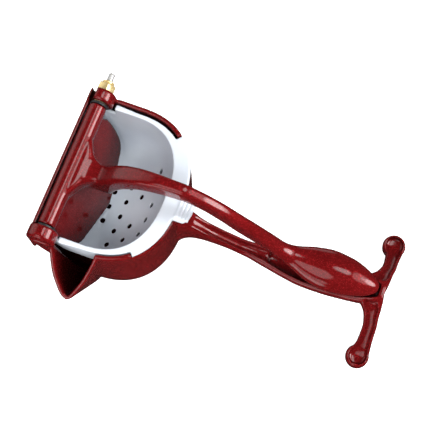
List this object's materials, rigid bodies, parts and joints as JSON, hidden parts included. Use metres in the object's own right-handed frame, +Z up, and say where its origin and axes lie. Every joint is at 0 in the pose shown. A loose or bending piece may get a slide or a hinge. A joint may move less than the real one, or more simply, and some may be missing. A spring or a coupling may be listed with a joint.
{
  "type": "hand citrus press",
  "caption": "Hand lever press for citrus fruit: cast bowl with a pouring lip and a footed lower handle, hinged lever with press plate and bulb grip, and a lift-out strainer.",
  "frame": {"origin": "middle of the flat under the bowl, on the plane the press rests on", "axes": "+X from the hinge towards the handles, +Y along the hinge towards the nut, +Z up"},
  "size_m": [0.2186, 0.139, 0.1045],
  "materials": {
    "red_enamel": "gloss enamel with fine metal flake",
    "red_enamel_lever": "gloss enamel with fine metal flake",
    "satin_alloy": "satin",
    "bright_steel": "bright",
    "pale_brass": "turned",
    "black_nylon_near": "matt",
    "black_nylon_far": "matt"
  },
  "bodies": {
    "frame": {"body_casting": "red_enamel", "strainer_basket": "satin_alloy", "thrust_washer_near": "black_nylon_near", "thrust_washer_far": "black_nylon_far"},
    "lever": {"lever_casting": "red_enamel_lever"},
    "pin": {"hinge_pin": "bright_steel"},
    "nut": {"brass_nut": "pale_brass"}
  },
  "joints": [
    {"name": "lever_hinge", "type": "hinge", "parent": "frame", "child": "lever", "pos_m": [-0.031, 0, 0.076], "axis": [0, -1, 0], "range_deg": [0, 110]},
    {"name": "pin_withdraw", "type": "slide", "parent": "frame", "child": "pin", "axis": [0, 1, 0], "range_m": [0, 0.115]},
    {"name": "nut_turn", "type": "hinge", "parent": "pin", "child": "nut", "pos_m": [-0.031, 0.055, 0.076], "axis": [0, 1, 0], "continuous": true}
  ]
}
